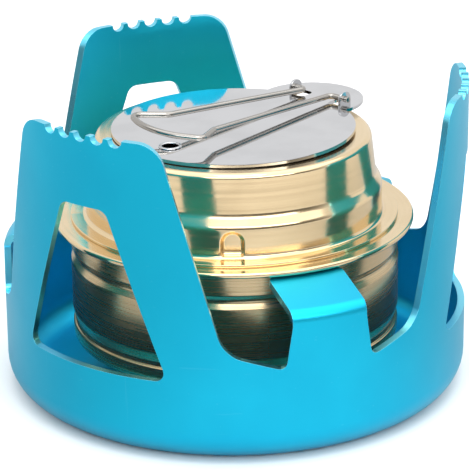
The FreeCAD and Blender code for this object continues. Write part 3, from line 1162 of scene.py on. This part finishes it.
    def build_wick(self) -> Object:
        """Spins the felt lining and makes its face uneven.

        Returns:
            The piece.
        """
        corners = [(self.wick_inner, self.wick_low, 0.6), (self.wick_outer, self.wick_low, 0.6),
                   (self.wick_outer, self.wick_top, 1.2), (self.wick_inner, self.wick_top, 1.2)]
        bm = half_outline(corners, 4)
        long_edges = [e for e in bm.edges if e.calc_length() > 4]
        bmesh.ops.subdivide_edges(bm, edges=long_edges, cuts=self.felt_cuts)
        spin_edges(bm, [(360, self.felt_turns)])
        for vert in bm.verts:
            wave = self.felt_wave * noise.noise(vert.co * self.felt_fineness)
            vert.co -= vert.normal * (self.felt_sink + wave)
        return finished(bm, "felt_wick", 80.0)


# ---- Regulator ring ----
@dataclass
class RegulatorRing:
    """Spun ring with a foot, a step, four pressed dimples and a round port in its top."""

    sheet: float = 0.6
    foot_z: float = 36.87
    foot_radius: float = 34.6
    lower_radius: float = 31.2
    step_z: float = 43.9
    step_top_z: float = 46.0
    upper_radius: float = 29.9
    top_radius: float = 28.9
    top_z: float = 54.6
    port_radius: float = 15.5
    rim_round: float = 0.12
    foot_bend: float = 0.9
    step_low_bend: float = 1.8
    step_high_bend: float = 2.6
    shoulder: float = 1.2
    dimple_first_deg: float = 6.6
    dimple_half: float = 2.2
    dimple_depth: float = 1.0
    dimple_low_z: float = 38.4
    dimple_top_z: float = 43.0
    dimple_soft: float = 0.35
    dimple_slope: float = 2.4
    wall_cuts: int = 20
    rivet_radius: float = 18.8
    rivet_deg: float = 234.0
    rivet_hole: float = 2.05
    drill_depth: float = 6.0
    fine_deg: float = 12.0
    fine_steps: int = 56
    plain_steps: int = 54

    def side(self, inwards: float) -> list[Corner]:
        """Outline of one face of the sheet.

        Args:
            inwards: How far the face is from the outer one.

        Returns:
            Its corners, from the foot's edge to the port.
        """
        low = self.foot_z + self.sheet - inwards
        return [
            (self.foot_radius, low, self.rim_round),
            (self.lower_radius - inwards, low, self.foot_bend + inwards),
            (self.lower_radius - inwards, self.step_z - inwards * 0.2,
             self.step_low_bend - inwards),
            (self.upper_radius - inwards, self.step_top_z - inwards * 0.4,
             self.step_high_bend + inwards),
            (self.top_radius - inwards, self.top_z - inwards, self.shoulder - inwards),
            (self.port_radius, self.top_z - inwards, self.rim_round),
        ]

    def press(self, point: Vector) -> Vector:
        """Moves a point of the lower wall inwards where a dimple is.

        Args:
            point: The point.

        Returns:
            Its new place.
        """
        radius = math.hypot(point.x, point.y)
        on_wall = self.lower_radius - self.sheet - 0.05 < radius < self.lower_radius + 0.05
        if not on_wall or not self.dimple_low_z - 0.6 < point.z < self.dimple_top_z + 0.6:
            return point
        degrees = math.degrees(math.atan2(point.y, point.x)) - self.dimple_first_deg
        off = (degrees + 45) % 90 - 45
        sideways = radius * math.radians(off)
        arch_z = self.dimple_top_z - self.dimple_half
        if point.z > arch_z:
            inside = self.dimple_half - math.hypot(sideways, point.z - arch_z)
        else:
            inside = min(self.dimple_half - abs(sideways),
                         point.z - self.dimple_low_z + self.dimple_soft)
        share = (inside + self.dimple_soft) / (self.dimple_slope * self.dimple_soft)
        share = max(0.0, min(1.0, share))
        depth = self.dimple_depth * share * share * (3 - 2 * share)
        return Vector((point.x * (1 - depth / radius), point.y * (1 - depth / radius), point.z))

    def build(self) -> Object:
        """Spins the ring, presses its dimples and drills the rivet's hole.

        Returns:
            The piece.
        """
        bm = half_outline(self.side(0) + self.side(self.sheet)[::-1], 7)
        walls = [e for e in bm.edges if e.calc_length() > 3
                 and all(v.co.z < self.step_z for v in e.verts)
                 and abs(e.verts[0].co.x - e.verts[1].co.x) < 0.1]
        bmesh.ops.subdivide_edges(bm, edges=walls, cuts=self.wall_cuts)
        turn = Matrix.Rotation(math.radians(self.dimple_first_deg - self.fine_deg / 2), 3, "Z")
        bmesh.ops.rotate(bm, verts=bm.verts[:], cent=(0, 0, 0), matrix=turn)
        quarter = [(self.fine_deg, self.fine_steps), (90 - self.fine_deg, self.plain_steps)]
        spin_edges(bm, quarter * 4)
        for vert in bm.verts:
            vert.co = self.press(vert.co)
        ring = finished(bm, "regulator_ring_spun")
        place = (Matrix.Rotation(math.radians(self.rivet_deg), 4, "Z")
                 @ Matrix.Translation((self.rivet_radius, 0, self.top_z)))
        drill(ring, self.rivet_hole, self.drill_depth, [place], 48)
        return ring


# ---- Cover plate and handle ----
@dataclass
class Cover:
    """Flat cover plate with an ear, and the wire handle that pivots in the ear's lugs."""

    ring_top: float = 54.6
    direction_deg: float = 54.0
    rivet_radius: float = 18.8
    tilt_deg: float = 0.6
    lift: float = 0.25
    sheet: float = 0.7
    plate_radius: float = 25.6
    ear_centre: float = 24.5
    ear_radius: float = 11.3
    lug_offset: float = 7.0
    lug_sheet: float = 0.6
    lug_length: float = 3.4
    handle_side: float = -1.5
    pivot_along: float = 25.7
    pivot_height: float = 1.15
    slot_length: float = 4.2
    slot_width: float = 3.2
    rivet_hole: float = 2.06
    slot_corner: float = 1.2
    slot_drop: float = 1.5
    cutter_length: float = 4.0
    crisp_deg: float = 50.0
    wire_crisp_deg: float = 60.0
    lug_sink: float = 0.2
    lug_crown: float = 0.9
    lug_roundness: float = 0.95
    wire_radius: float = 0.65
    wire_play: float = 0.06
    wire_overhang: float = 0.9
    near_leg: float = 4.1
    far_leg: float = 3.1
    leg_bend: float = 1.2
    loop: tuple[tuple[float, float, float, float], ...] = (
        (-12.7, 6.4, 4.0, 3.0), (-18.3, 11.9, 4.3, 1.8), (-23.1, 2.1, 3.7, 13.0),
        (-17.0, -7.5, 2.9, 1.5), (-11.1, -5.0, 2.7, 1.5))
    edge_round: float = 0.14
    end_round: float = 0.2

    def set_down(self, bm: BMesh) -> None:
        """Lays a flat-drawn mesh on the ring, turned to the ear and tilted about the rivet.

        Args:
            bm: The mesh, with X towards the ear and the plate's lower face at Z = 0.
        """
        place = (Matrix.Rotation(math.radians(self.direction_deg), 4, "Z")
                 @ Matrix.Translation((-self.rivet_radius, 0, self.ring_top + self.lift))
                 @ Matrix.Rotation(math.radians(-self.tilt_deg), 4, "Y")
                 @ Matrix.Translation((self.rivet_radius, 0, 0)))
        bmesh.ops.transform(bm, matrix=place, verts=bm.verts[:])

    @staticmethod
    def disc(radius: float, along: float, low: float, depth: float) -> Object:
        """Makes an upright round block, for shaping.

        Args:
            radius: Its radius.
            along: Its centre towards the ear.
            low: Its lower face.
            depth: Its height.

        Returns:
            The block.
        """
        bm = bmesh.new()
        add_bar(bm, radius, depth, Matrix.Translation((along, 0, low + depth / 2)), 160)
        return add_object(bm, "round_block")

    def slot(self, side: int) -> Object:
        """Makes the opening that a lug was lanced from, for cutting.

        Args:
            side: 1 for the lug to the left, -1 for the one to the right.

        Returns:
            The cutter.
        """
        bm = bmesh.new()
        near = self.handle_side + side * (self.lug_offset - self.lug_sheet / 2)
        far = near - side * self.slot_width
        half = self.slot_length / 2
        corners = [(self.pivot_along - half, near, 0), (self.pivot_along + half, near, 0),
                   (self.pivot_along + half, far, self.slot_corner),
                   (self.pivot_along - half, far, self.slot_corner)]
        add_outline(bm, corners, 8, Plane.FLAT)
        draw_out(bm, (0, 0, self.cutter_length))
        bmesh.ops.translate(bm, vec=(0, 0, -self.slot_drop), verts=bm.verts[:])
        face_out(bm)
        return add_object(bm, "lug_slot")

    def lug(self, side: int) -> Object:
        """Makes a round-topped lug with the handle's pivot hole through it.

        Args:
            side: 1 for the lug to the left, -1 for the one to the right.

        Returns:
            The lug.
        """
        bm = bmesh.new()
        half = self.lug_length / 2
        back, front = self.pivot_along - half, self.pivot_along + half
        hole = self.wire_radius + self.wire_play
        low = self.sheet - self.lug_sink
        top = self.sheet + self.pivot_height + hole + self.lug_crown
        crown = half * self.lug_roundness
        corners = [(back, low, 0), (front, low, 0), (front, top, crown), (back, top, crown)]
        add_outline(bm, corners, 12, Plane.UPRIGHT)
        draw_out(bm, (0, self.lug_sheet, 0))
        near = self.handle_side + side * self.lug_offset - self.lug_sheet / 2
        bmesh.ops.translate(bm, vec=(0, near, 0), verts=bm.verts[:])
        face_out(bm)
        blade, bore = add_object(bm, "lug_blade"), bmesh.new()
        place = (Matrix.Translation((self.pivot_along, near, self.sheet + self.pivot_height))
                 @ Matrix.Rotation(math.pi / 2, 4, "X"))
        add_bar(bore, hole, self.cutter_length, place, 32)
        boolean(blade, add_object(bore, "lug_bore"), "DIFFERENCE")
        return blade

    def build_plate(self) -> Object:
        """Builds the cover plate.

        Returns:
            The piece.
        """
        plate = self.disc(self.plate_radius, 0, 0, self.sheet)
        boolean(plate, self.disc(self.ear_radius, self.ear_centre, 0, self.sheet), "UNION")
        boolean(plate, self.disc(self.rivet_hole, -self.rivet_radius, -1, 3), "DIFFERENCE")
        for side in (-1, 1):
            boolean(plate, self.slot(side), "DIFFERENCE")
            boolean(plate, self.lug(side), "UNION")
        bm = bmesh.new()
        bm.from_mesh(plate.data)
        bpy.data.objects.remove(plate)
        weld(bm)
        bmesh.ops.dissolve_limit(bm, angle_limit=math.radians(0.5), verts=bm.verts[:],
                                 edges=bm.edges[:])
        round_off(bm, self.crisp_edges(bm, self.crisp_deg), self.edge_round, 3)
        self.set_down(bm)
        return finished(bm, "steel_cover_plate")

    @staticmethod
    def crisp_edges(bm: BMesh, degrees: float) -> list:
        """Edges between two faces that turn by more than an angle."""
        return [e for e in bm.edges
                if len(e.link_faces) == 2 and e.calc_face_angle() > math.radians(degrees)]

    def wire_route(self) -> list[tuple[Vector, float]]:
        """Corners of the handle's wire and their bend radii.

        Returns:
            The corners, in order from one pivot to the other.
        """
        pin = self.lug_offset + self.lug_sheet / 2 + self.wire_overhang
        ends = [(self.pivot_along, self.handle_side + off, self.pivot_height, bend)
                for off, bend in ((pin, 0.0), (self.near_leg, self.leg_bend),
                                  (-self.far_leg, self.leg_bend), (-pin, 0.0))]
        route = [*ends[:2], *self.loop, *ends[2:]]
        return [(Vector((x, y, self.sheet + h)), bend) for x, y, h, bend in route]

    def wire_line(self) -> list[Vector]:
        """Middle line of the wire with its bends rounded.

        Returns:
            Its points, in order.
        """
        route = self.wire_route()
        bm = bmesh.new()
        verts = [bm.verts.new(point) for point, _ in route]
        for first, second in zip(verts, verts[1:]):
            bm.edges.new((first, second))
        start = verts[0]
        for i in range(1, len(route) - 1):
            setback = corner_setback(route[i - 1][0], route[i][0], route[i + 1][0], route[i][1])
            round_off(bm, [verts[i]], setback, 10, "VERTICES")
        weld(bm)
        line, last, here = [start.co.copy()], None, start
        while True:
            onward = [e for e in here.link_edges if e is not last]
            if not onward:
                break
            last = onward[0]
            here = last.other_vert(here)
            line.append(here.co.copy())
        bm.free()
        return line

    def build_handle(self) -> Object:
        """Draws the wire along its line.

        Returns:
            The piece.
        """
        line = self.wire_line()
        curve = bpy.data.curves.new("handle_line", "CURVE")
        curve.dimensions = "3D"
        curve.bevel_depth = self.wire_radius
        curve.bevel_resolution = 6
        curve.use_fill_caps = True
        spline = curve.splines.new("POLY")
        spline.points.add(len(line) - 1)
        for point, place in zip(spline.points, line):
            point.co = (*place, 1.0)
        holder = bpy.data.objects.new("handle_line", curve)
        bpy.context.scene.collection.objects.link(holder)
        bpy.context.view_layer.update()
        mesh, bm = evaluated_mesh(holder), bmesh.new()
        bm.from_mesh(mesh)
        bpy.data.objects.remove(holder)
        bpy.data.curves.remove(curve)
        bpy.data.meshes.remove(mesh)
        weld(bm)
        face_out(bm)
        round_off(bm, self.crisp_edges(bm, self.wire_crisp_deg), self.end_round, 3)
        self.set_down(bm)
        return finished(bm, "wire_handle_loop", self.wire_crisp_deg)


# ---- Studio ----
@dataclass(frozen=True)
class Panel:
    """Soft light panel that faces the stove."""

    name: str
    place: Point
    size: Span
    watts: float

    def hang(self, target: Point) -> None:
        """Hangs the panel.

        Args:
            target: What it faces.
        """
        data = bpy.data.lights.new(self.name, "AREA")
        data.shape = "RECTANGLE"
        data.size, data.size_y = self.size
        data.energy = self.watts
        lamp = bpy.data.objects.new(self.name, data)
        lamp.location = self.place
        facing = Vector(target) - Vector(self.place)
        lamp.rotation_euler = facing.to_track_quat("-Z", "Y").to_euler()
        bpy.context.scene.collection.objects.link(lamp)


@dataclass(frozen=True)
class Studio:
    """Camera, floor and soft light, in metres."""

    distance: float = 0.525
    azimuth_deg: float = 7.42
    elevation_deg: float = 20.363
    target: Point = (0.0, 0.0, 0.030)
    pan_deg: float = -0.010
    tilt_deg: float = 0.117
    roll_deg: float = 0.676
    lens: float = 188.85
    sensor: float = 36.0
    clip: float = 0.01
    floor_size: float = 6.0
    floor_seen: Point = (0.93, 0.93, 0.93)
    floor_roughness: float = 0.9
    # The floor's colour in reflections is painted light: a painted pool of light about this
    # middle, painted shade round it, and a mid tone farther out.
    painted_pool_middle: Point = (0.038, -0.072, 0.0)
    painted_pool_span: Span = (0.02, 0.11)
    painted_pool_tone: Point = (0.71, 0.71, 0.71)
    painted_shade_tone: Point = (0.45, 0.45, 0.45)
    far_span: Span = (0.20, 0.38)
    painted_far_tone: Point = (0.62, 0.61, 0.60)
    backdrop_seen: Point = (1.0, 1.0, 1.0)
    backdrop_tone: Point = (0.96, 0.96, 0.97)
    front_span: Span = (-0.45, 0.25)
    front_tone: Point = (0.62, 0.62, 0.63)
    band_span: Span = (0.15, 0.50)
    band_tone: Point = (0.10, 0.10, 0.10)
    panels: tuple[Panel, ...] = (
        Panel("overhead panel", (0.10, -0.25, 1.15), (3.0, 2.1), 19.5),
        Panel("key panel", (0.12, -0.42, 1.10), (0.5, 0.3), 2.4),
        Panel("front panel", (0.25, -1.0, 0.60), (2.0, 0.32), 6.0),
    )

    def place_camera(self) -> None:
        """Puts the camera in front of the stove, slightly above it."""
        a, e = math.radians(self.azimuth_deg), math.radians(self.elevation_deg)
        back = Vector((math.sin(a) * math.cos(e), -math.cos(a) * math.cos(e), math.sin(e)))
        axes = [-back, Vector((math.cos(a), math.sin(a), 0))]
        axes.append(axes[1].cross(axes[0]))
        for degrees, kind in ((self.pan_deg, 2), (self.tilt_deg, 1), (self.roll_deg, 0)):
            turn = Matrix.Rotation(math.radians(degrees), 3, axes[kind].copy())
            axes = [turn @ axis for axis in axes]
        forward, right, up = axes
        data = bpy.data.cameras.new("camera")
        data.lens = self.lens
        data.sensor_width = self.sensor
        data.clip_start = self.clip
        camera = bpy.data.objects.new("camera", data)
        place = back * self.distance + Vector(self.target)
        turned = Matrix((right, up, -forward)).transposed().to_4x4()
        camera.matrix_world = Matrix.Translation(place) @ turned
        bpy.context.scene.collection.objects.link(camera)
        bpy.context.scene.camera = camera

    def lay_floor(self) -> None:
        """Lays a floor under the stove that looks plain pale to the camera; in reflections it
        shows painted light: a bright painted pool, painted shade round it and a mid tone farther
        out.
        """
        bm = bmesh.new()
        bmesh.ops.create_grid(bm, x_segments=2, y_segments=2, size=self.floor_size / 2)
        floor = add_object(bm, "floor")
        material, sheet, shader, place = start_material("pale floor")
        # Painted light seen only in reflections: a bright painted pool, painted shade near it and
        # a mid tone farther out; camera rays see the plain pale colour.
        reach = sheet.add("ShaderNodeVectorMath", {0: place, 1: self.painted_pool_middle},
                          operation="DISTANCE").outputs["Value"]
        painted_falloff = sheet.blend(sheet.ramp(reach, self.far_span), self.painted_shade_tone, self.painted_far_tone)
        painted_floor_light = sheet.blend(sheet.ramp(reach, self.painted_pool_span, falling=True), painted_falloff,
                            self.painted_pool_tone)
        seen = sheet.add("ShaderNodeLightPath").outputs["Is Camera Ray"]
        sheet.feed(shader, {
            "Base Color": sheet.blend(seen, painted_floor_light, self.floor_seen),
            "Roughness": self.floor_roughness,
            "Specular IOR Level": 0.0,
        })
        floor.data.materials.append(material)

    def paint_world(self) -> None:
        """Gives the room a white backdrop and a darker band low behind the camera."""
        world = bpy.data.worlds.new("studio")
        bpy.context.scene.world = world
        world.use_nodes = True
        sheet = NodeSheet(world.node_tree)
        facing = sheet.add("ShaderNodeTexCoord").outputs["Generated"]
        _, y, z = sheet.add("ShaderNodeSeparateXYZ", {0: facing}).outputs
        band = sheet.ramp(z, self.band_span, falling=True)
        front = sheet.ramp(y, self.front_span, falling=True)
        tone = sheet.blend(band, self.front_tone, self.band_tone)
        colour = sheet.blend(front, self.backdrop_tone, tone)
        seen = sheet.add("ShaderNodeLightPath").outputs["Is Camera Ray"]
        light = sheet.add("ShaderNodeBackground", {
            "Color": sheet.blend(seen, colour, self.backdrop_seen), "Strength": 1.0})
        sheet.add("ShaderNodeOutputWorld", {0: light.outputs[0]})

    def build(self) -> None:
        """Sets up the studio."""
        bpy.context.scene.view_settings.view_transform = "Standard"
        self.place_camera()
        self.lay_floor()
        self.paint_world()
        for panel in self.panels:
            panel.hang(self.target)


def dress_frame_nodes(finishes: Finishes) -> None:
    """Gives the carried-over nodes their finishes.

    Args:
        finishes: The finishes.
    """
    for name, material in (("fuel_well", finishes.satin_brass), ("pivot_rivet", finishes.mirror)):
        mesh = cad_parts[name].data
        mesh.materials.clear()
        mesh.materials.append(material)
        LOG.info("%s: %s", name, material.name)


def main() -> None:
    """Builds every piece in order."""
    logging.basicConfig(level=logging.INFO, format="%(message)s")
    Studio().build()
    finishes = Finishes(Workshop())
    burner, cover = Burner(), Cover()
    dress(PotStand().build(), finishes.blue, Body.STAND, "pot_stand")
    dress(burner.build_cup(), finishes.satin_brass, Body.BURNER, "burner_cup")
    dress(burner.build_top(), finishes.bright_brass, Body.BURNER, "burner_top")
    dress(burner.build_wick(), finishes.felt, Body.BURNER, "wick_ring")
    dress(RegulatorRing().build(), finishes.bright_brass, Body.REGULATOR, "regulator_ring")
    dress(cover.build_plate(), finishes.mirror, Body.COVER, "cover_plate")
    dress(cover.build_handle(), finishes.wire, Body.HANDLE, "wire_handle")
    dress_frame_nodes(finishes)


if __name__ == "__main__":
    main()
